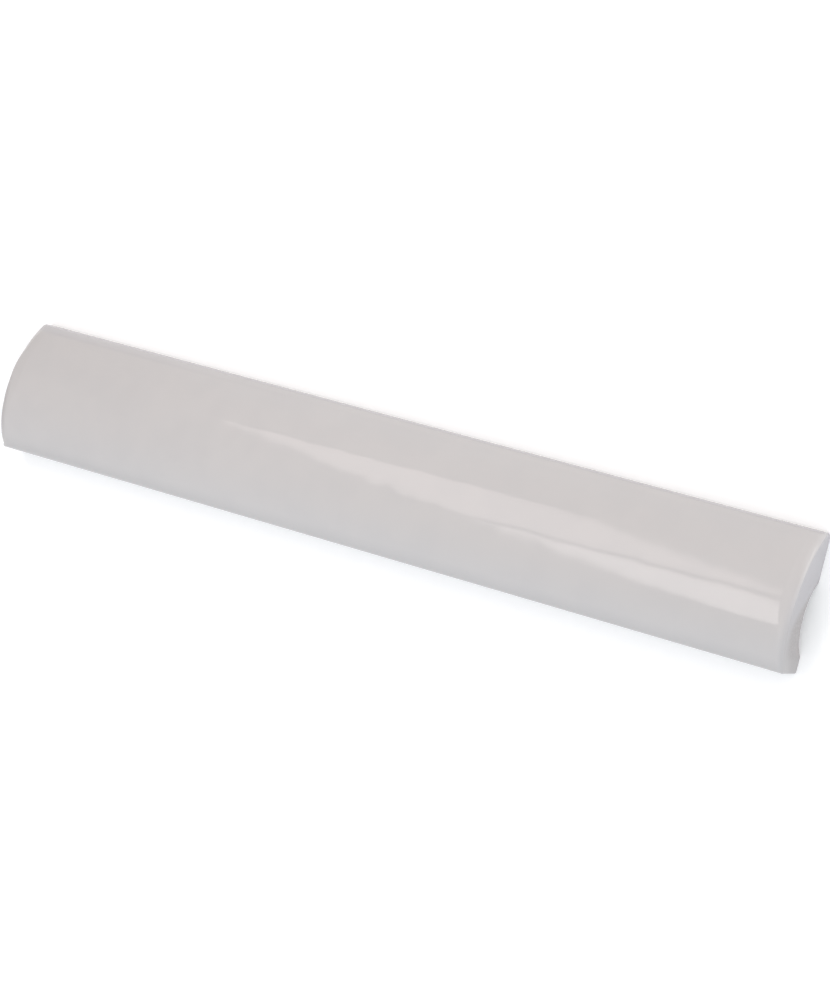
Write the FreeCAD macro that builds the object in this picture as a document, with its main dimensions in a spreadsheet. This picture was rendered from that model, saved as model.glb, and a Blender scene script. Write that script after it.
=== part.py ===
import FreeCAD, Part

import enum
import math
import os

import Sketcher

# Bullnose tile: one pressed and fired ceramic strip for finishing the edge of a tiled wall.
# It lies on its back: X runs along the strip, +Y points to the thin upper edge, +Z out of the glazed face.
# The origin is the middle of the back, on the plane of the two lands that meet the wall.

NODE_LABEL = "bullnose_tile"

# Driving dimensions in millimetres: alias, value, meaning.
SIZES = [
    ("tile_length", 200, "end to end"),
    ("tile_width", 30, "lower edge to upper edge"),
    ("crest_height", 12.5, "back to the highest line of the glazed face"),
    ("crest_from_lower_edge", 10.8, "lower edge to the crest, across the width"),
    ("upper_edge_height", 3.3, "thin edge, before its corner is rounded"),
    ("lower_edge_height", 8, "thick edge beside the field tile, before its corner is rounded"),
    ("upper_edge_rounding", 2, "radius of the thin edge's corner"),
    ("edge_rounding", 1.2, "radius of the face's lower edge and of its two ends"),
    ("corner_rounding", 0.4, "radius of the upright corner at each end of the lower edge"),
    ("hollow_width", 15.7, "hollow in the back, across the width"),
    ("hollow_depth", 4.2, "hollow in the back, at its deepest"),
    ("lower_land_width", 3.8, "flat of the back between the lower edge and the hollow"),
]

# Two lengths closer than this count as the same when an edge is looked for.
SAME_PLACE = 1e-4
# Share of the expected volume by which the hollow may differ from its segment of a cylinder.
VOLUME_TOLERANCE = 0.01
MM3_PER_CM3 = 1000


class At(enum.IntEnum):
    """The point of a sketch's edge that a constraint holds."""
    START = 1
    END = 2
    CENTRE = 3


class Axis(enum.IntEnum):
    """A sketch's own axes. The horizontal one starts at the sketch's origin."""
    HORIZONTAL = -1
    VERTICAL = -2


def add_sizes(doc):
    """The sheet of driving dimensions, one aliased cell each."""
    sheet = doc.addObject("Spreadsheet::Sheet", "Sizes")
    for row, (alias, value, meaning) in enumerate(SIZES, start=1):
        sheet.set(f"A{row}", alias)
        sheet.set(f"B{row}", str(value))
        sheet.set(f"C{row}", meaning)
        sheet.setAlias(f"B{row}", alias)
    doc.recompute()
    return sheet


def add_cross_sketch(body, name):
    """A sketch across the strip: its horizontal is Y and its vertical is Z."""
    sketch = body.newObject("Sketcher::SketchObject", name)
    plane = next(f for f in body.Origin.OriginFeatures if f.Role == "YZ_Plane")
    sketch.AttachmentSupport = [(plane, "")]
    sketch.MapMode = "FlatFace"
    return sketch


def bind(sketch, constraint, name, expression):
    """Adds a dimension to a sketch and ties it to the sheet."""
    index = sketch.addConstraint(constraint)
    sketch.renameConstraint(index, name)
    sketch.setExpression(f"Constraints.{name}", expression)


def arc_from_crest(crest_y, crest_z, edge_y, edge_z):
    """Circle that is level at the crest and passes through an edge point, with that point's angle on it."""
    across = edge_y - crest_y
    drop = crest_z - edge_z
    radius = (across**2 + drop**2) / (2 * drop)
    centre = FreeCAD.Vector(crest_y, crest_z - radius, 0)
    return Part.Circle(centre, FreeCAD.Vector(0, 0, 1), radius), math.atan2(edge_z - centre.y, across)


def draw_section(body, sizes):
    """Solid outline: flat back, two square edges, and two arcs that meet level at the crest."""
    sketch = add_cross_sketch(body, "Section")
    half = sizes.tile_width / 2
    crest_y, crest_z = sizes.crest_from_lower_edge - half, sizes.crest_height
    crown, upper_angle = arc_from_crest(crest_y, crest_z, half, sizes.upper_edge_height)
    nose, lower_angle = arc_from_crest(crest_y, crest_z, -half, sizes.lower_edge_height)
    lower_back = FreeCAD.Vector(-half, 0, 0)
    upper_back = FreeCAD.Vector(half, 0, 0)
    upper_corner = FreeCAD.Vector(half, sizes.upper_edge_height, 0)
    lower_corner = FreeCAD.Vector(-half, sizes.lower_edge_height, 0)

    back = sketch.addGeometry(Part.LineSegment(lower_back, upper_back))
    upper_side = sketch.addGeometry(Part.LineSegment(upper_back, upper_corner))
    crown_arc = sketch.addGeometry(Part.ArcOfCircle(crown, upper_angle, math.pi / 2))
    nose_arc = sketch.addGeometry(Part.ArcOfCircle(nose, math.pi / 2, lower_angle))
    lower_side = sketch.addGeometry(Part.LineSegment(lower_corner, lower_back))

    sketch.addConstraint([
        Sketcher.Constraint("Coincident", back, At.END, upper_side, At.START),
        Sketcher.Constraint("Coincident", upper_side, At.END, crown_arc, At.START),
        Sketcher.Constraint("Tangent", crown_arc, At.END, nose_arc, At.START),
        Sketcher.Constraint("Coincident", nose_arc, At.END, lower_side, At.START),
        Sketcher.Constraint("Coincident", lower_side, At.END, back, At.START),
        Sketcher.Constraint("PointOnObject", back, At.START, Axis.HORIZONTAL),
        Sketcher.Constraint("Symmetric", back, At.START, back, At.END, Axis.VERTICAL),
        Sketcher.Constraint("Vertical", upper_side),
        Sketcher.Constraint("Vertical", lower_side),
        Sketcher.Constraint("Vertical", crown_arc, At.CENTRE, crown_arc, At.END),
    ])
    bind(sketch, Sketcher.Constraint("DistanceX", back, At.START, back, At.END, sizes.tile_width),
         "width", "Sizes.tile_width")
    bind(sketch, Sketcher.Constraint(
        "DistanceY", upper_side, At.START, upper_side, At.END, sizes.upper_edge_height),
         "upper_edge", "Sizes.upper_edge_height")
    bind(sketch, Sketcher.Constraint(
        "DistanceY", lower_side, At.END, lower_side, At.START, sizes.lower_edge_height),
         "lower_edge", "Sizes.lower_edge_height")
    bind(sketch, Sketcher.Constraint(
        "DistanceX", back, At.START, crown_arc, At.END, sizes.crest_from_lower_edge),
         "crest_across", "Sizes.crest_from_lower_edge")
    bind(sketch, Sketcher.Constraint("DistanceY", back, At.START, crown_arc, At.END, crest_z),
         "crest_height", "Sizes.crest_height")
    return sketch


def draw_hollow(body, sizes):
    """Round of the hollow: a circle through both land edges that reaches the hollow's depth."""
    sketch = add_cross_sketch(body, "HollowRound")
    lower_y = sizes.lower_land_width - sizes.tile_width / 2
    upper_y = lower_y + sizes.hollow_width
    middle_y = (lower_y + upper_y) / 2
    radius = (sizes.hollow_width**2 / 4 + sizes.hollow_depth**2) / (2 * sizes.hollow_depth)
    centre = FreeCAD.Vector(middle_y, sizes.hollow_depth - radius, 0)

    circle = sketch.addGeometry(Part.Circle(centre, FreeCAD.Vector(0, 0, 1), radius))
    mouth = sketch.addGeometry(
        Part.LineSegment(FreeCAD.Vector(lower_y, 0, 0), FreeCAD.Vector(upper_y, 0, 0)), True)
    deepest = sketch.addGeometry(Part.Point(FreeCAD.Vector(middle_y, sizes.hollow_depth, 0)), True)

    sketch.addConstraint([
        Sketcher.Constraint("PointOnObject", mouth, At.START, Axis.HORIZONTAL),
        Sketcher.Constraint("PointOnObject", mouth, At.END, Axis.HORIZONTAL),
        Sketcher.Constraint("PointOnObject", mouth, At.START, circle),
        Sketcher.Constraint("PointOnObject", mouth, At.END, circle),
        Sketcher.Constraint("PointOnObject", deepest, At.START, circle),
        Sketcher.Constraint("Vertical", deepest, At.START, circle, At.CENTRE),
    ])
    bind(sketch, Sketcher.Constraint("DistanceX", mouth, At.START, Axis.HORIZONTAL, At.START, -lower_y),
         "mouth_start", "Sizes.tile_width / 2 - Sizes.lower_land_width")
    bind(sketch, Sketcher.Constraint("DistanceX", mouth, At.START, mouth, At.END, sizes.hollow_width),
         "mouth_width", "Sizes.hollow_width")
    bind(sketch, Sketcher.Constraint(
        "DistanceY", Axis.HORIZONTAL, At.START, deepest, At.START, sizes.hollow_depth),
         "depth", "Sizes.hollow_depth")
    return sketch


def edges_where(shape, wanted):
    """Names of the edges whose every end point and middle pass a test."""
    names = []
    for number, edge in enumerate(shape.Edges, start=1):
        middle = edge.valueAt((edge.FirstParameter + edge.LastParameter) / 2)
        if all(wanted(point) for point in [middle] + [vertex.Point for vertex in edge.Vertexes]):
            names.append(f"Edge{number}")
    return names


def near(value, target):
    return abs(value - target) < SAME_PLACE


def round_edges(body, name, base, edge_names, radius_expression):
    """A fillet on the named edges of a feature, its radius tied to the sheet."""
    fillet = body.newObject("PartDesign::Fillet", name)
    fillet.Base = (base, edge_names)
    fillet.setExpression("Radius", radius_expression)
    body.Document.recompute()
    return fillet


def round_front(body, strip, sizes):
    """Rounds the thin edge first, then the lower edge and both ends of the face, then the lower corners."""
    half_width, half_length = sizes.tile_width / 2, sizes.tile_length / 2
    thin_edge = edges_where(
        strip.Shape, lambda p: near(p.y, half_width) and near(p.z, sizes.upper_edge_height))
    rounded = round_edges(body, "ThinEdge", strip, thin_edge, "Sizes.upper_edge_rounding")

    lower_edge = edges_where(
        rounded.Shape, lambda p: near(p.y, -half_width) and near(p.z, sizes.lower_edge_height))
    end_edges = edges_where(rounded.Shape, lambda p: near(abs(p.x), half_length))
    back_edges = edges_where(rounded.Shape, lambda p: near(p.z, 0))
    lower_corners = edges_where(
        rounded.Shape, lambda p: near(abs(p.x), half_length) and near(p.y, -half_width))
    face_ends = [edge for edge in end_edges if edge not in back_edges + lower_corners]
    rounded = round_edges(body, "FaceEdges", rounded, lower_edge + face_ends, "Sizes.edge_rounding")

    lower_corners = edges_where(
        rounded.Shape, lambda p: near(abs(p.x), half_length) and near(p.y, -half_width))
    return round_edges(body, "LowerCorners", rounded, lower_corners, "Sizes.corner_rounding")


def cut_hollow(body, sizes):
    """The hollow runs through both ends."""
    pocket = body.newObject("PartDesign::Pocket", "Hollow")
    pocket.Profile = draw_hollow(body, sizes)
    pocket.SideType = "Symmetric"
    pocket.Type = "ThroughAll"
    body.Document.recompute()
    return pocket


def hollow_volume(sizes):
    """Volume of the hollow: a circular segment along the whole strip."""
    half, depth = sizes.hollow_width / 2, sizes.hollow_depth
    radius = (half**2 + depth**2) / (2 * depth)
    sector = radius**2 * math.atan2(half, radius - depth)
    return (sector - half * (radius - depth)) * sizes.tile_length


def build_tile(doc, sizes):
    """The whole strip as one body."""
    body = doc.addObject("PartDesign::Body", "Tile")
    body.Label = NODE_LABEL
    strip = body.newObject("PartDesign::Pad", "Strip")
    strip.Profile = draw_section(body, sizes)
    strip.SideType = "Symmetric"
    strip.setExpression("Length", "Sizes.tile_length")
    doc.recompute()
    front = round_front(body, strip, sizes)
    hollow = cut_hollow(body, sizes)
    removed = front.Shape.Volume - hollow.Shape.Volume
    expected = hollow_volume(sizes)
    if abs(removed - expected) > VOLUME_TOLERANCE * expected:
        raise RuntimeError(f"the hollow removed {removed:.1f} mm3 where {expected:.1f} was expected")
    return body


def check(doc, bodies):
    """Stops if any object failed to build or a body isn't one valid solid."""
    failed = [o.Name for o in doc.Objects if {"Invalid", "Error"} & set(o.State)]
    if failed:
        raise RuntimeError(f"these objects failed: {failed}")
    for body in bodies:
        if body.Shape.isNull() or not body.Shape.isValid() or len(body.Shape.Solids) != 1:
            raise RuntimeError(f"{body.Label} isn't one valid solid")


def main():
    doc = FreeCAD.newDocument("BullnoseTile")
    sizes = add_sizes(doc)
    bodies = [build_tile(doc, sizes)]
    doc.recompute()
    check(doc, bodies)
    os.makedirs("parts", exist_ok=True)
    for body in bodies:
        body.Shape.exportStep(f"parts/{body.Label}.step")
        box = body.Shape.optimalBoundingBox(False, False)
        print(f"{body.Label}: {box.XLength:.2f} x {box.YLength:.2f} x {box.ZLength:.2f} mm,",
              f"{body.Shape.Volume / MM3_PER_CM3:.2f} cm3")


main()
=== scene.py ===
import math

import bpy
from mathutils import Matrix, Vector, noise


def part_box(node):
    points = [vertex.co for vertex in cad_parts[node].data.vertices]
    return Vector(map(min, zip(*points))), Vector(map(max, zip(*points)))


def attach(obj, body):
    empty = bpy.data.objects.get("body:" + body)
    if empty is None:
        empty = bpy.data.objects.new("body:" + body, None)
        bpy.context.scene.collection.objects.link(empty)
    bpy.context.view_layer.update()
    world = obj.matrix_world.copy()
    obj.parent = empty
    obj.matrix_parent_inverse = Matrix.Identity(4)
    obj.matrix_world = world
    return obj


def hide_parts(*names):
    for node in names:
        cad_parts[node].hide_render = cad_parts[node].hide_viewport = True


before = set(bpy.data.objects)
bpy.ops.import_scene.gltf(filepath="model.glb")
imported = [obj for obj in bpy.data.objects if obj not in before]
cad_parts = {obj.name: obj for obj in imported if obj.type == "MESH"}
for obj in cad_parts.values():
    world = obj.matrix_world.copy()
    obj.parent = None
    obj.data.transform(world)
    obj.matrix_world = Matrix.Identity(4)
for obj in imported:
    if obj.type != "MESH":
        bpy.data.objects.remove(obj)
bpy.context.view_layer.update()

# Lengths are in metres. X runs along the strip, with the near end at +X. +Y is towards the thin upper
# edge, -Y towards the thick lower edge, and +Z out of the glazed face.
MM = 0.001

# Sizes of the section. The overall ones come from the solid tile.
TILE_LOW, TILE_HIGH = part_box("bullnose_tile")
HALF_LENGTH = (TILE_HIGH[0] - TILE_LOW[0]) / 2
HALF_WIDTH = (TILE_HIGH[1] - TILE_LOW[1]) / 2
CREST_HEIGHT = TILE_HIGH[2]
CREST_FROM_LOWER_EDGE = 10.8 * MM
CREST_Y = CREST_FROM_LOWER_EDGE - HALF_WIDTH
UPPER_EDGE_HEIGHT = 3.3 * MM
LOWER_EDGE_HEIGHT = 8.0 * MM
UPPER_EDGE_ROUNDING = 2.0 * MM
LOWER_EDGE_ROUNDING = 1.2 * MM
HOLLOW_WIDTH = 15.7 * MM
HOLLOW_DEPTH = 4.2 * MM
LOWER_LAND_WIDTH = 3.8 * MM

# The hollow's round, as a circle across the strip.
HOLLOW_RADIUS = (HOLLOW_WIDTH**2 / 4 + HOLLOW_DEPTH**2) / (2 * HOLLOW_DEPTH)
HOLLOW_Y = LOWER_LAND_WIDTH + HOLLOW_WIDTH / 2 - HALF_WIDTH
HOLLOW_Z = HOLLOW_DEPTH - HOLLOW_RADIUS

# Softening of the pressed clay's own corners at the back.
CLAY_CORNER = 0.3 * MM

# How deep the edges of the ends are rounded at most, and the share of that where it is least.
END_ROUNDING = 1.15 * MM
END_ROUNDING_LEAST = 0.6
# The rounding is a quarter circle at that place. It grows over a width towards both long edges, and
# reaches further along the face there than it is deep, by this share at most.
LEAST_ROUNDING_Y = 4.0 * MM
ROUNDING_GROWS_OVER = 6.5 * MM
END_REACH_GAIN = 1.1
END_REACH_MOST = END_ROUNDING * (1 + END_REACH_GAIN)
LOWER_CORNER_ROUNDING = 0.4 * MM
# The glazed face dips over a short run before its rounding. The run is longest towards the thin edge.
END_DIP_RUN_AT_CREST = 2.35 * MM
END_DIP_RUN_GAIN = 2.9 * MM
END_DIP_RUN_LEAST = 1.4 * MM
END_DIP_RUN_MOST = 2.95 * MM
END_DIP_SLOPE = math.tan(math.radians(5))
END_DIP_BLEND = 0.4 * MM
END_FACE_RIM = 0.08 * MM

# Slow waves of the fired glaze.
GLAZE_WAVE_DEPTH = 0.045 * MM
GLAZE_WAVE_LENGTH = 4 * MM
# The largest share by which the rounding of the ends shrinks along their edges.
EDGE_WAVER = 0.5
EDGE_WAVE_LENGTH = 4.2 * MM

# Mesh spacing.
FACE_SPACING = 0.28 * MM
BACK_SPACING = 0.9 * MM
HOLLOW_SPACING = BACK_SPACING / 2
RING_SPACING = 1.25 * MM
ROUNDING_STEPS = 10
END_ROUNDING_STEPS = 14
CLAY_CORNER_STEPS = 5
DIP_STEPS = 14

RIGHT_ANGLE = math.pi / 2


def crest_circle(edge_y, edge_z):
    """Radius and centre height of the circle that is level at the crest and meets an edge."""
    across = edge_y - CREST_Y
    drop = CREST_HEIGHT - edge_z
    radius = (across**2 + drop**2) / (2 * drop)
    return radius, CREST_HEIGHT - radius


CROWN_RADIUS, CROWN_Z = crest_circle(HALF_WIDTH, UPPER_EDGE_HEIGHT)
NOSE_RADIUS, NOSE_Z = crest_circle(-HALF_WIDTH, LOWER_EDGE_HEIGHT)


def corner_centre(corner_y, rounding, face_radius, face_z):
    """Height of a rounding's centre inside the face's circle, and the angle at which the two meet."""
    up = math.sqrt((face_radius - rounding)**2 - (corner_y - CREST_Y)**2)
    return face_z + up, math.atan2(up, corner_y - CREST_Y)


UPPER_Y = HALF_WIDTH - UPPER_EDGE_ROUNDING
UPPER_Z, UPPER_ANGLE = corner_centre(UPPER_Y, UPPER_EDGE_ROUNDING, CROWN_RADIUS, CROWN_Z)
LOWER_Y = LOWER_EDGE_ROUNDING - HALF_WIDTH
LOWER_Z, LOWER_ANGLE = corner_centre(LOWER_Y, LOWER_EDGE_ROUNDING, NOSE_RADIUS, NOSE_Z)


def uneven(x, y, length):
    """The unevenness of fired glaze at a place on the face, from 0 to 1."""
    return (noise.noise(Vector((x, y, 0)) / length) + 1) / 2


def smooth_step(share):
    """Rises smoothly from 0 to 1 and stays there."""
    share = min(1.0, share)
    return share**2 * (3 - 2 * share)


def quarter_round(distance, depth, reach):
    """How far a quarter round, or a quarter oval, has drawn in at a distance from the end."""
    if distance >= reach:
        return 0.0
    return depth * (1 - math.sqrt(1 - (1 - distance / reach)**2))


def end_dip(distance, out_y):
    """How far the glazed face has dipped at a distance from the end, for a face that leans by out_y."""
    run = END_DIP_RUN_AT_CREST + END_DIP_RUN_GAIN * out_y
    run = min(max(run, END_DIP_RUN_LEAST), END_DIP_RUN_MOST)
    short_of = run + END_DIP_BLEND / 2 - distance
    if short_of <= 0:
        return 0.0
    if short_of < END_DIP_BLEND:
        return END_DIP_SLOPE * short_of**2 / (2 * END_DIP_BLEND)
    return END_DIP_SLOPE * (run - distance)


def end_inset(distance, y, out_y, out_z):
    """How far the face or a side has drawn in at a distance from the end. The thick side does least."""
    grown = smooth_step(abs(y - LEAST_ROUNDING_Y) / ROUNDING_GROWS_OVER)
    rounding = END_ROUNDING * (END_ROUNDING_LEAST + (1 - END_ROUNDING_LEAST) * grown)
    rounding *= 1 - EDGE_WAVER * uneven(HALF_WIDTH, y, EDGE_WAVE_LENGTH)
    stretch = 1 + END_REACH_GAIN * out_z * grown
    if out_y < 0:
        on_face = min(1.0, out_z / math.sin(LOWER_ANGLE))
        rounding = LOWER_CORNER_ROUNDING + (rounding - LOWER_CORNER_ROUNDING) * on_face
    return quarter_round(distance, rounding, rounding * stretch) + out_z * end_dip(distance, out_y)


class SectionPoint:
    """A point of the outline across the strip, with its outward direction."""

    def __init__(self, y, z, out_y, out_z):
        self.y, self.z = y, z
        self.out_y, self.out_z = out_y, out_z

    def moved_in(self, inset):
        y = self.y - inset * self.out_y
        z = self.z - inset * self.out_z
        return SectionPoint(y, z, self.out_y, self.out_z)


def steps_for(length, spacing):
    return max(2, math.ceil(length / spacing))


def arc(centre_y, centre_z, radius, start, end, steps, facing=1):
    """Points along an arc without its last one. A hollow's arc faces its own centre, with facing -1."""
    points = []
    for i in range(steps):
        angle = start + (end - start) * i / steps
        y, z = math.cos(angle), math.sin(angle)
        points.append(SectionPoint(centre_y + radius * y, centre_z + radius * z, facing * y, facing * z))
    return points


def line(start_y, start_z, end_y, end_z, out_y, out_z, steps):
    """Points along a straight stretch without its last one."""
    points = []
    for i in range(steps):
        share = i / steps
        y = start_y + (end_y - start_y) * share
        z = start_z + (end_z - start_z) * share
        points.append(SectionPoint(y, z, out_y, out_z))
    return points


def face_outline():
    """The glazed face from the thick side's top to the thin side's top, at full size."""
    nose_steps = steps_for(NOSE_RADIUS * (LOWER_ANGLE - RIGHT_ANGLE), FACE_SPACING)
    crown_steps = steps_for(CROWN_RADIUS * (RIGHT_ANGLE - UPPER_ANGLE), FACE_SPACING)
    points = arc(LOWER_Y, LOWER_Z, LOWER_EDGE_ROUNDING, math.pi, LOWER_ANGLE, ROUNDING_STEPS)
    points += arc(CREST_Y, NOSE_Z, NOSE_RADIUS, LOWER_ANGLE, RIGHT_ANGLE, nose_steps)
    points += arc(CREST_Y, CROWN_Z, CROWN_RADIUS, RIGHT_ANGLE, UPPER_ANGLE, crown_steps)
    points += arc(UPPER_Y, UPPER_Z, UPPER_EDGE_ROUNDING, UPPER_ANGLE, 0, ROUNDING_STEPS)
    return points


def section(distance, rim=0.0):
    """The closed outline across the strip at a distance from its nearer end, drawn in by a rim."""
    lower_half = HALF_WIDTH - end_inset(distance, -HALF_WIDTH, -1, 0) - rim
    upper_half = HALF_WIDTH - end_inset(distance, HALF_WIDTH, 1, 0) - rim
    back_z = quarter_round(distance, CLAY_CORNER, CLAY_CORNER) + rim
    corner_z = back_z + CLAY_CORNER
    hollow_radius = HOLLOW_RADIUS + back_z
    lip_rise = corner_z - HOLLOW_Z
    lip_reach = math.sqrt((hollow_radius + CLAY_CORNER)**2 - lip_rise**2)
    lip_angle = math.atan2(lip_rise, lip_reach)
    upper_lip, lower_lip = HOLLOW_Y + lip_reach, HOLLOW_Y - lip_reach
    upper_corner, lower_corner = upper_half - CLAY_CORNER, CLAY_CORNER - lower_half

    def clay_corner(centre_y, start, end):
        return arc(centre_y, corner_z, CLAY_CORNER, start, end, CLAY_CORNER_STEPS)

    def side(y, start_z, end_z, out_y, height):
        return line(y, start_z, y, end_z, out_y, 0, steps_for(height, BACK_SPACING))

    def land(start_y, end_y, width):
        return line(start_y, back_z, end_y, back_z, 0, -1, steps_for(width, BACK_SPACING))

    points = side(-lower_half, corner_z, LOWER_Z, -1, LOWER_Z)
    for point in face_outline():
        points.append(point.moved_in(end_inset(distance, point.y, point.out_y, point.out_z) + rim))
    points += side(upper_half, UPPER_Z, corner_z, 1, UPPER_Z)
    points += clay_corner(upper_corner, 0, -RIGHT_ANGLE)
    points += land(upper_corner, upper_lip, HALF_WIDTH)
    points += clay_corner(upper_lip, -RIGHT_ANGLE, lip_angle - math.pi)
    points += arc(HOLLOW_Y, HOLLOW_Z, hollow_radius, lip_angle, math.pi - lip_angle,
                  steps_for(HOLLOW_WIDTH, HOLLOW_SPACING), facing=-1)
    points += clay_corner(lower_lip, -lip_angle, -RIGHT_ANGLE)
    points += land(lower_lip, lower_corner, LOWER_LAND_WIDTH)
    points += clay_corner(lower_corner, -RIGHT_ANGLE, -math.pi)
    return points


def end_distances():
    """Distances from an end at which the outline is drawn: over its rounding, then over the dip."""
    turns = [RIGHT_ANGLE * i / END_ROUNDING_STEPS for i in range(END_ROUNDING_STEPS + 1)]
    distances = [END_REACH_MOST * (1 - math.cos(turn)) for turn in turns]
    dip_stretch = END_DIP_RUN_MOST + END_DIP_BLEND - END_REACH_MOST
    distances += [END_REACH_MOST + dip_stretch * i / DIP_STEPS for i in range(1, DIP_STEPS + 1)]
    return distances


def ring_places():
    """Every outline's place along the strip with its distance from the nearer end."""
    from_end = end_distances()
    plain_half = HALF_LENGTH - from_end[-1]
    count = steps_for(2 * plain_half, RING_SPACING)
    places = [(-HALF_LENGTH + d, d) for d in from_end]
    places += [(-plain_half + 2 * plain_half * i / count, HALF_LENGTH) for i in range(1, count)]
    places += [(HALF_LENGTH - d, d) for d in reversed(from_end)]
    return places


def glaze_wave(x, point):
    """How far the fired glaze sinks below the true face: waves on the face that die out at its edges."""
    if point.out_z <= 0:
        return 0.0
    return GLAZE_WAVE_DEPTH * point.out_z * uneven(x, point.y, GLAZE_WAVE_LENGTH)


def join_rings(ring, following):
    """Four-sided faces between two outlines, facing outward when the second lies further along +X."""
    faces = []
    for i in range(len(ring)):
        after = (i + 1) % len(ring)
        faces.append((ring[i], following[i], following[after], ring[after]))
    return faces


class TileMesh:
    """The tile's mesh as it grows: outlines, the faces between them and the finish's two masks."""

    def __init__(self):
        self.vertices, self.faces = [], []
        self.end_share, self.back_share = [], []

    def add_outline(self, x, outline, end_share):
        """Adds an outline's points. end_share is 1 on an end's own face, where the back's mask is 0."""
        first = len(self.vertices)
        for point in outline:
            sunk = point.moved_in(glaze_wave(x, point))
            self.vertices.append((x, sunk.y, sunk.z))
            self.end_share.append(end_share)
            self.back_share.append(max(0.0, -point.out_z) * (1 - end_share))
        return range(first, len(self.vertices))

    def make_object(self, name):
        mesh = bpy.data.meshes.new(name)
        mesh.from_pydata(self.vertices, [], self.faces)
        for mask, values in (("end_share", self.end_share), ("back_share", self.back_share)):
            mesh.attributes.new(mask, "FLOAT", "POINT").data.foreach_set("value", values)
        mesh.shade_smooth()
        piece = bpy.data.objects.new(name, mesh)
        bpy.context.scene.collection.objects.link(piece)
        return piece


def build_tile():
    """The tile: outlines along the strip joined by faces, and a flat face at each end."""
    tile = TileMesh()
    rings = []
    for x, distance in ring_places():
        end_share = max(0.0, 1 - distance / END_ROUNDING)
        rings.append(tile.add_outline(x, section(distance), end_share))
    for ring, following in zip(rings, rings[1:]):
        tile.faces += join_rings(ring, following)
    for x, ring in ((-HALF_LENGTH, rings[0]), (HALF_LENGTH, rings[-1])):
        rim = tile.add_outline(x, section(0, END_FACE_RIM), 1.0)
        if x < 0:
            tile.faces += join_rings(rim, ring)
            tile.faces.append(list(rim))
        else:
            tile.faces += join_rings(ring, rim)
            tile.faces.append(list(reversed(rim)))
    return tile.make_object("bullnose_tile_glazed")


class Nodes:
    """Short ways to add and join the nodes of one material or world."""

    # The mix node has sockets of its own for each kind of data: two inputs and an output.
    COLOUR_SOCKETS = (6, 7, 2)
    VALUE_SOCKETS = (2, 3, 0)

    def __init__(self, tree):
        self.tree = tree
        tree.nodes.clear()

    def add(self, kind, settings=None, **inputs):
        """A node with plain settings and inputs, where an input is a value or another node's output."""
        node = self.tree.nodes.new(kind)
        for name, value in (settings or {}).items():
            setattr(node, name, value)
        for name, value in inputs.items():
            self.feed(node.inputs[name.replace("_", " ")], value)
        return node

    def feed(self, socket, value):
        if isinstance(value, bpy.types.NodeSocket):
            self.tree.links.new(value, socket)
        else:
            socket.default_value = value

    def math(self, operation, a, b=0.0):
        node = self.add("ShaderNodeMath", {"operation": operation})
        self.feed(node.inputs[0], a)
        self.feed(node.inputs[1], b)
        return node.outputs[0]

    def ramp(self, value, low, high, to_low=0.0, to_high=1.0):
        """A smooth step from one value to another."""
        node = self.add("ShaderNodeMapRange", {"interpolation_type": "SMOOTHSTEP"}, Value=value,
                        From_Min=low, From_Max=high, To_Min=to_low, To_Max=to_high)
        return node.outputs["Result"]

    def mix(self, data_type, sockets, share, a, b):
        node = self.add("ShaderNodeMix", {"data_type": data_type}, Factor=share)
        first, second, result = sockets
        self.feed(node.inputs[first], a)
        self.feed(node.inputs[second], b)
        return node.outputs[result]

    def mix_colour(self, share, a, b):
        return self.mix("RGBA", self.COLOUR_SOCKETS, share, a, b)

    def mix_value(self, share, a, b):
        return self.mix("FLOAT", self.VALUE_SOCKETS, share, a, b)

    def noise(self, place, size, detail=2.0):
        """Cloudy noise whose features are about as large as size."""
        node = self.add("ShaderNodeTexNoise", Vector=place, Scale=1 / size, Detail=detail)
        return node.outputs["Fac"]

    def mask(self, name):
        """A value that the mesh carries at its points."""
        return self.add("ShaderNodeAttribute", {"attribute_name": name}).outputs["Fac"]


# Colours of the fired glaze and of the bare clay, as linear light.
GLAZE = (0.612, 0.583, 0.574, 1)
GLAZE_CLOUD = (0.600, 0.573, 0.566, 1)
# Thin glaze with painted shade on the ends and the long edges: cooler towards the thin edge, darker
# towards the thick one.
GLAZE_THIN_AND_SHADED_UPPER = (0.486, 0.467, 0.480, 1)
GLAZE_THIN_AND_SHADED_LOWER = (0.450, 0.430, 0.427, 1)
CLAY = (0.486, 0.459, 0.454, 1)
CLAY_DARK = (0.429, 0.405, 0.399, 1)

# Gloss. The glaze is glossiest away from the near end.
GLAZE_IOR = 1.5
GLAZE_ROUGHNESS_FAR = 0.08
GLAZE_ROUGHNESS_NEAR = 0.11
GLOSS_FALLS_FROM_X, GLOSS_FALLS_TO_X = 0.0, 45 * MM
GLAZE_ROUGHNESS_SPREAD = 0.03
THIN_ROUGHNESS = 0.3
CLAY_ROUGHNESS = 0.82

# The glaze is thinnest on an end's own face, which is also painted in shade, between these depths below
# the glazed face.
THIN_AND_SHADED_FROM, THIN_AND_SHADED_TO = 0.7 * MM, 1.15 * MM
# It begins to thin, and to darken with painted shade, at this distance from the end.
THIN_AND_SHADED_REACH = 1.8 * MM
# Towards the thick side it is already thinned by this share over the edge's rounding, with painted shade
# that darkens the rounding.
THIN_AND_SHADED_ON_EDGE = 0.62
THIN_AND_SHADED_EDGE_FROM_Y, THIN_AND_SHADED_EDGE_TO_Y = 6.5 * MM, -6.0 * MM
# Its tone turns from its upper one to its darker, warmer lower one between these.
THIN_AND_SHADED_TONE_FROM_Y, THIN_AND_SHADED_TONE_TO_Y = 4.0 * MM, -13.0 * MM
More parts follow.
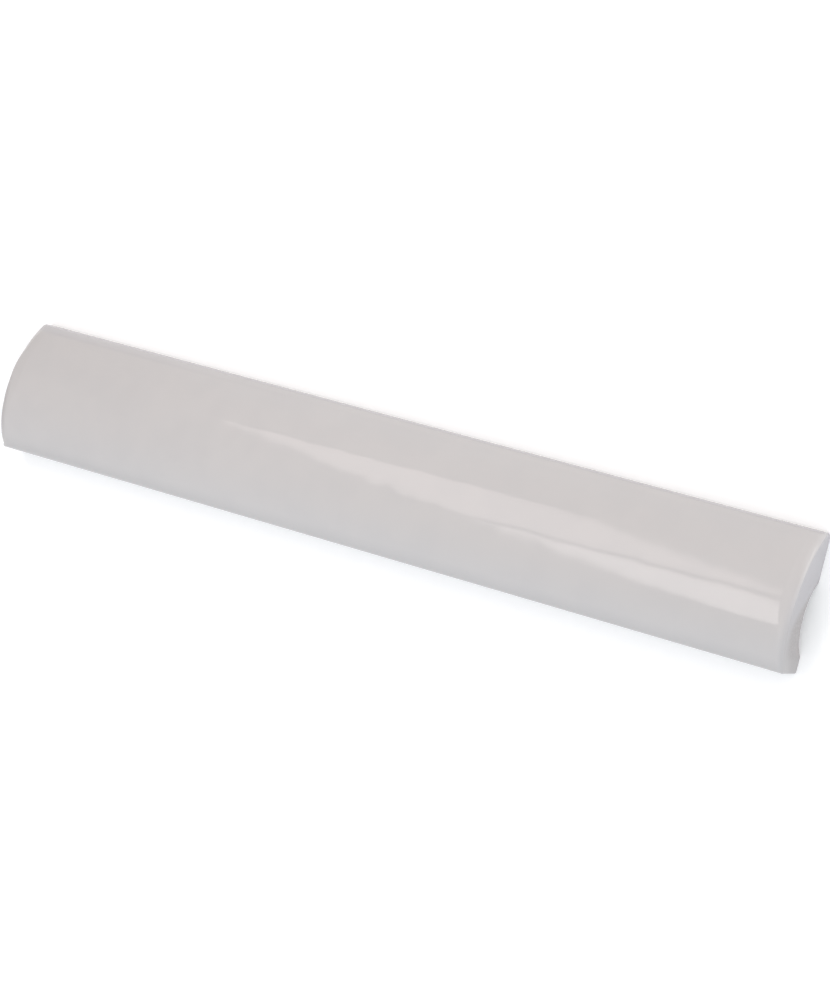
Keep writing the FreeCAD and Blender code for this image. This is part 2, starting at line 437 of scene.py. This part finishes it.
# It thins over the two long edges too, by these shares at most. There the darker tone is also painted
# shade that dulls the edges' bright rims.
THIN_AND_SHADED_LOWER_FROM_Y, THIN_AND_SHADED_LOWER_TO_Y = -11.6 * MM, -15.4 * MM
THIN_AND_SHADED_LOWER_MOST = 0.38
THIN_AND_SHADED_UPPER_FROM_Y, THIN_AND_SHADED_UPPER_TO_Y = 14.35 * MM, 15.0 * MM
THIN_AND_SHADED_UPPER_MOST = 0.7
# Painted shade over the upper edge, in the thin glaze's tone, broadens towards the far end on a run that
# would end past it.
FAR_SHADE_FROM_Y, FAR_SHADE_TO_Y = 12.9 * MM, 13.7 * MM
FAR_SHADE_FROM_X, FAR_SHADE_TO_X = 0.0, -130 * MM
FAR_SHADE_MOST = 0.55

# Features of the finish: how large they are, how finely they break up, and where their tones turn.
CLOUD_SIZE = 9 * MM
CLOUD_DETAIL = 3
CLOUD_FROM, CLOUD_TO = 0.35, 0.65
GRAIN_SIZE = 0.5 * MM
GRAIN_DETAIL = 4
GRAIN_FROM, GRAIN_TO = 0.35, 0.7
GLOSS_PATCH_SIZE = 4 * MM
PEEL_SIZE = 1.6 * MM
PEEL_SHARE = 0.02
RELIEF_DEPTH = 0.05 * MM
NOISE_MIDDLE = 0.5

# A darker band in the clay's colour on the ends beside the hollow: a hair wide beside its upper part,
# wide beside its lower part.
DARK_BAND_NARROW = 0.4 * MM
DARK_BAND_WIDE = 5.3 * MM
DARK_BAND_NARROW_Y = 3.0 * MM
DARK_BAND_WIDE_Y = -7.0 * MM
DARK_BAND_SOFT = 1.7 * MM
# Below the hollow the ends' band keeps only this share of the clay's colour, as painted slight shade on
# the glaze there.
BELOW_HOLLOW_FROM_Y = -10.8 * MM
BELOW_HOLLOW_TO_Y = -12.4 * MM
BELOW_HOLLOW_BAND_SHARE = 0.45
# The bare rim along the foot of both sides.
BARE_RIM_HEIGHT = 0.7 * MM
BARE_RIM_SOFT = 0.3 * MM
# The edges of the bare rim and of the darker band wander by this much to either side.
GLAZE_LINE_WANDER = 0.5 * MM
GLAZE_LINE_SIZE = 2.5 * MM


def distance_from(nodes, y, z, centre_y, centre_z):
    """Distance across the strip from the middle of one of its rounds."""
    across = nodes.math("SUBTRACT", y, centre_y)
    above = nodes.math("SUBTRACT", z, centre_z)
    across_squared = nodes.math("MULTIPLY", across, across)
    above_squared = nodes.math("MULTIPLY", above, above)
    return nodes.math("SQRT", nodes.math("ADD", across_squared, above_squared))


def thin_glaze_and_shade_share(nodes, x, y, z):
    """1 where the glaze is thinnest and painted darkest, on the ends' own faces, and less over an edge:
    thin glaze and painted shade together.
    """
    # Thin glaze and painted shade: the ends and the long edges are coloured darker than the glaze.
    on_edge = nodes.ramp(y, THIN_AND_SHADED_EDGE_FROM_Y, THIN_AND_SHADED_EDGE_TO_Y, 0, THIN_AND_SHADED_ON_EDGE)
    below_crown = nodes.math("SUBTRACT", CROWN_RADIUS, distance_from(nodes, y, z, CREST_Y, CROWN_Z))
    below_nose = nodes.math("SUBTRACT", NOSE_RADIUS, distance_from(nodes, y, z, CREST_Y, NOSE_Z))
    below_face = nodes.mix_value(nodes.math("LESS_THAN", y, CREST_Y), below_crown, below_nose)
    thinned_and_shaded = nodes.mix_value(nodes.ramp(below_face, THIN_AND_SHADED_FROM, THIN_AND_SHADED_TO), on_edge, 1.0)
    from_end = nodes.math("SUBTRACT", HALF_LENGTH, nodes.math("ABSOLUTE", x))
    on_end = nodes.math("MULTIPLY", thinned_and_shaded, nodes.ramp(from_end, THIN_AND_SHADED_REACH, 0))
    on_lower = nodes.ramp(y, THIN_AND_SHADED_LOWER_FROM_Y, THIN_AND_SHADED_LOWER_TO_Y, 0, THIN_AND_SHADED_LOWER_MOST)
    on_upper = nodes.ramp(y, THIN_AND_SHADED_UPPER_FROM_Y, THIN_AND_SHADED_UPPER_TO_Y, 0, THIN_AND_SHADED_UPPER_MOST)
    # Painted shade: the upper edge is darker towards the far end.
    far_shade = nodes.math("MULTIPLY", nodes.ramp(x, FAR_SHADE_FROM_X, FAR_SHADE_TO_X, 0, FAR_SHADE_MOST),
                     nodes.ramp(y, FAR_SHADE_FROM_Y, FAR_SHADE_TO_Y))
    on_long_edges = nodes.math("MAXIMUM", on_lower, nodes.math("MAXIMUM", on_upper, far_shade))
    return nodes.math("MAXIMUM", on_end, on_long_edges)


def clay_colour_share(nodes, place, y, z):
    """1 where the clay's colour is used: the bare back, the hollow and the rim of the sides, and a
    darker band beside the hollow on the ends.
    """
    from_middle = distance_from(nodes, y, z, HOLLOW_Y, HOLLOW_Z)
    from_hollow = nodes.math("SUBTRACT", from_middle, HOLLOW_RADIUS)
    off_line = nodes.math("SUBTRACT", nodes.noise(place, GLAZE_LINE_SIZE), NOISE_MIDDLE)
    wander = nodes.math("MULTIPLY", off_line, 2 * GLAZE_LINE_WANDER)

    # A darker band in the clay's colour beside the hollow on the ends.
    band_width = nodes.ramp(y, DARK_BAND_NARROW_Y, DARK_BAND_WIDE_Y, DARK_BAND_NARROW, DARK_BAND_WIDE)
    inside_band = nodes.math("SUBTRACT", nodes.math("ADD", band_width, wander), from_hollow)
    # Painted shade: below the hollow the band keeps only a share of the clay's colour, as slight shade
    # on the glaze.
    band = nodes.math("MULTIPLY", nodes.ramp(inside_band, -DARK_BAND_SOFT, DARK_BAND_SOFT),
                      nodes.ramp(y, BELOW_HOLLOW_FROM_Y, BELOW_HOLLOW_TO_Y, 1, BELOW_HOLLOW_BAND_SHARE))
    under_rim = nodes.math("SUBTRACT", nodes.math("ADD", wander, BARE_RIM_HEIGHT), z)
    rim = nodes.ramp(under_rim, -BARE_RIM_SOFT, BARE_RIM_SOFT)
    around = nodes.mix_value(nodes.mask("end_share"), rim, band)
    return nodes.math("MAXIMUM", around, nodes.mask("back_share"))


def tile_finish():
    """Glossy pale glaze over fired clay, on one surface."""
    material = bpy.data.materials.new("glazed_clay")
    material.use_nodes = True
    nodes = Nodes(material.node_tree)
    place = nodes.add("ShaderNodeTexCoord").outputs["Object"]
    x, y, z = nodes.add("ShaderNodeSeparateXYZ", Vector=place).outputs
    clay_coloured = clay_colour_share(nodes, place, y, z)
    # The share of thin glaze and painted shade.
    thin_and_shaded = thin_glaze_and_shade_share(nodes, x, y, z)

    cloud = nodes.ramp(nodes.noise(place, CLOUD_SIZE, CLOUD_DETAIL), CLOUD_FROM, CLOUD_TO)
    # Thin glaze with painted shade, darker and warmer towards the thick side.
    towards_lower = nodes.ramp(y, THIN_AND_SHADED_TONE_FROM_Y, THIN_AND_SHADED_TONE_TO_Y)
    thin_and_shaded_glaze = nodes.mix_colour(towards_lower, GLAZE_THIN_AND_SHADED_UPPER, GLAZE_THIN_AND_SHADED_LOWER)
    glaze = nodes.mix_colour(thin_and_shaded, nodes.mix_colour(cloud, GLAZE, GLAZE_CLOUD), thin_and_shaded_glaze)
    grain = nodes.noise(place, GRAIN_SIZE, GRAIN_DETAIL)
    clay = nodes.mix_colour(nodes.ramp(grain, GRAIN_FROM, GRAIN_TO), CLAY_DARK, CLAY)

    patches = nodes.math("SUBTRACT", nodes.noise(place, GLOSS_PATCH_SIZE), NOISE_MIDDLE)
    along = nodes.ramp(x, GLOSS_FALLS_FROM_X, GLOSS_FALLS_TO_X,
                       GLAZE_ROUGHNESS_FAR, GLAZE_ROUGHNESS_NEAR)
    roughness = nodes.math("ADD", nodes.math("MULTIPLY", patches, GLAZE_ROUGHNESS_SPREAD), along)
    roughness = nodes.mix_value(thin_and_shaded, roughness, THIN_ROUGHNESS)
    peel = nodes.math("MULTIPLY", nodes.noise(place, PEEL_SIZE), PEEL_SHARE)
    relief = nodes.add("ShaderNodeBump", Height=nodes.mix_value(clay_coloured, peel, grain),
                       Distance=RELIEF_DEPTH)
    shader = nodes.add("ShaderNodeBsdfPrincipled", IOR=GLAZE_IOR, Normal=relief.outputs["Normal"],
                       Base_Color=nodes.mix_colour(clay_coloured, glaze, clay),
                       Roughness=nodes.mix_value(clay_coloured, roughness, CLAY_ROUGHNESS))
    nodes.add("ShaderNodeOutputMaterial", Surface=shader.outputs["BSDF"])
    return material


FLOOR_HALF = 6.0
FLOOR_WHITE = (0.97, 0.97, 0.97, 1)
# What the floor adds to its own light where it is seen, so that it is white away from the shadow.
FLOOR_GLOW = 0.16


def add_floor():
    """A plain white floor, wide enough to fill every view."""
    corners = [(-FLOOR_HALF, -FLOOR_HALF, 0), (FLOOR_HALF, -FLOOR_HALF, 0),
               (FLOOR_HALF, FLOOR_HALF, 0), (-FLOOR_HALF, FLOOR_HALF, 0)]
    mesh = bpy.data.meshes.new("floor")
    mesh.from_pydata(corners, [], [(0, 1, 2, 3)])
    floor = bpy.data.objects.new("floor", mesh)
    bpy.context.scene.collection.objects.link(floor)
    material = bpy.data.materials.new("floor_white")
    material.use_nodes = True
    nodes = Nodes(material.node_tree)
    rays = nodes.add("ShaderNodeLightPath").outputs
    mirrored = nodes.math("MAXIMUM", rays["Is Glossy Ray"], rays["Is Transmission Ray"])
    seen = nodes.math("MAXIMUM", rays["Is Camera Ray"], mirrored)
    lit = nodes.add("ShaderNodeBsdfDiffuse", Color=FLOOR_WHITE)
    glow = nodes.add("ShaderNodeEmission", Strength=nodes.math("MULTIPLY", seen, FLOOR_GLOW))
    both = nodes.add("ShaderNodeAddShader")
    nodes.feed(both.inputs[0], lit.outputs["BSDF"])
    nodes.feed(both.inputs[1], glow.outputs["Emission"])
    nodes.add("ShaderNodeOutputMaterial", Surface=both.outputs["Shader"])
    mesh.materials.append(material)


# Radiance of the room's pale walls, warm for the most part and cool towards one side.
ROOM_LIGHT = 1.005
ROOM_WARM = (0.986, 0.969, 0.956, 1)
ROOM_COOL = (0.95, 1.054, 1.144, 1)
COOL_SIDE = Vector((0.5, -0.866, 0))
COOL_FROM, COOL_TO = 0.0, 0.9
# The lower part of the room is a little cool all round: heights of a direction, and the share.
LOW_FROM, LOW_TO = 0.6, 0.1
LOW_COOL = 0.45

# The room's dim side, towards -X and most of all towards -X and +Y: shares of a direction's X and Y.
DIM_MOST = 0.95
DIM_X_FROM, DIM_X_TO = -0.48, -0.58
DIM_Y_FROM, DIM_Y_TO = -0.7, 0.8
DIM_Y_LEAST = 0.42


def light_room():
    """Even light from a pale room that is cool on one side and dim on another."""
    world = bpy.data.worlds.new("room")
    world.use_nodes = True
    nodes = Nodes(world.node_tree)
    towards = nodes.add("ShaderNodeTexCoord").outputs["Generated"]
    x, y, z = nodes.add("ShaderNodeSeparateXYZ", Vector=towards).outputs
    dim_x = nodes.ramp(x, DIM_X_FROM, DIM_X_TO, 0, DIM_MOST)
    dim_y = nodes.ramp(y, DIM_Y_FROM, DIM_Y_TO, DIM_Y_LEAST, 1)
    level = nodes.math("SUBTRACT", 1, nodes.math("MULTIPLY", dim_x, dim_y))
    lean = nodes.add("ShaderNodeVectorMath", {"operation": "DOT_PRODUCT"})
    nodes.feed(lean.inputs[0], towards)
    nodes.feed(lean.inputs[1], COOL_SIDE)
    cool = nodes.math("MAXIMUM", nodes.ramp(lean.outputs["Value"], COOL_FROM, COOL_TO),
                      nodes.ramp(z, LOW_FROM, LOW_TO, 0, LOW_COOL))
    tint = nodes.mix_colour(cool, ROOM_WARM, ROOM_COOL)
    strength = nodes.math("MULTIPLY", level, ROOM_LIGHT)
    light = nodes.add("ShaderNodeBackground", Color=tint, Strength=strength)
    nodes.add("ShaderNodeOutputWorld", Surface=light.outputs["Background"])
    bpy.context.scene.world = world


# An area lamp's power is four times its area for each unit of radiance.
POWER_PER_AREA = 4
STRAIGHT_DOWN = Vector((0, 0, -1))
TOWARDS_NEAR_END = Vector((-0.75, -0.65, -0.12))
WARM_LAMP = (1.0, 0.89, 0.88)
PALE_LAMP = (1.0, 0.93, 0.92)

# Two level lamps, whose images are the bright strips on the face, and a low one beside the near end.
# Turns are in degrees.
LAMPS = {
    "lamp_long": {"place": (-0.382, 0.439, 0.755), "size": (0.524, 0.226),
                  "facing": STRAIGHT_DOWN, "turn": -61.1, "radiance": 1.47, "tint": WARM_LAMP},
    "lamp_short": {"place": (-0.183, 0.005, 0.755), "size": (0.329, 0.163),
                   "facing": STRAIGHT_DOWN, "turn": -66.9, "radiance": 2.24, "tint": PALE_LAMP},
    "lamp_low": {"place": (0.768, 0.58, 0.12), "size": (0.6, 0.16),
                 "facing": TOWARDS_NEAR_END, "turn": 0, "radiance": 2.1, "tint": PALE_LAMP},
}


def add_lamp(name, place, size, facing, turn, radiance, tint):
    """A soft rectangular lamp, turned about the direction that it faces."""
    lamp = bpy.data.lights.new(name, "AREA")
    lamp.shape = "RECTANGLE"
    lamp.color = tint
    lamp.size, lamp.size_y = size
    lamp.energy = POWER_PER_AREA * lamp.size * lamp.size_y * radiance
    holder = bpy.data.objects.new(name, lamp)
    tilt = facing.to_track_quat("-Z", "Y").to_matrix().to_4x4()
    turned = Matrix.Rotation(math.radians(turn), 4, "Z")
    holder.matrix_world = Matrix.Translation(place) @ tilt @ turned
    holder.visible_camera = False
    bpy.context.scene.collection.objects.link(holder)


# The camera looks down on the tile from past its near end.
CAMERA_PLACE = Vector((0.29748, 0.0438, 0.58187))
CAMERA_INTO = Vector((-0.44835, -0.06955, -0.89115))
CAMERA_UP = Vector((-0.24184, 0.96923, 0.04602))
CAMERA_LENS = 106.37
CAMERA_CLIP_START = 0.01


def add_camera():
    lens = bpy.data.cameras.new("camera")
    lens.lens = CAMERA_LENS
    lens.clip_start = CAMERA_CLIP_START
    camera = bpy.data.objects.new("camera", lens)
    right = CAMERA_INTO.cross(CAMERA_UP)
    turn = Matrix((right, CAMERA_UP, -CAMERA_INTO)).transposed()
    camera.matrix_world = Matrix.Translation(CAMERA_PLACE) @ turn.to_4x4()
    bpy.context.scene.collection.objects.link(camera)
    bpy.context.scene.camera = camera


tile = build_tile()
tile.data.materials.append(tile_finish())
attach(tile, "root")
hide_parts("bullnose_tile")
add_floor()
light_room()
for lamp_name, settings in LAMPS.items():
    add_lamp(lamp_name, **settings)
add_camera()
bpy.context.scene.view_settings.view_transform = "Standard"
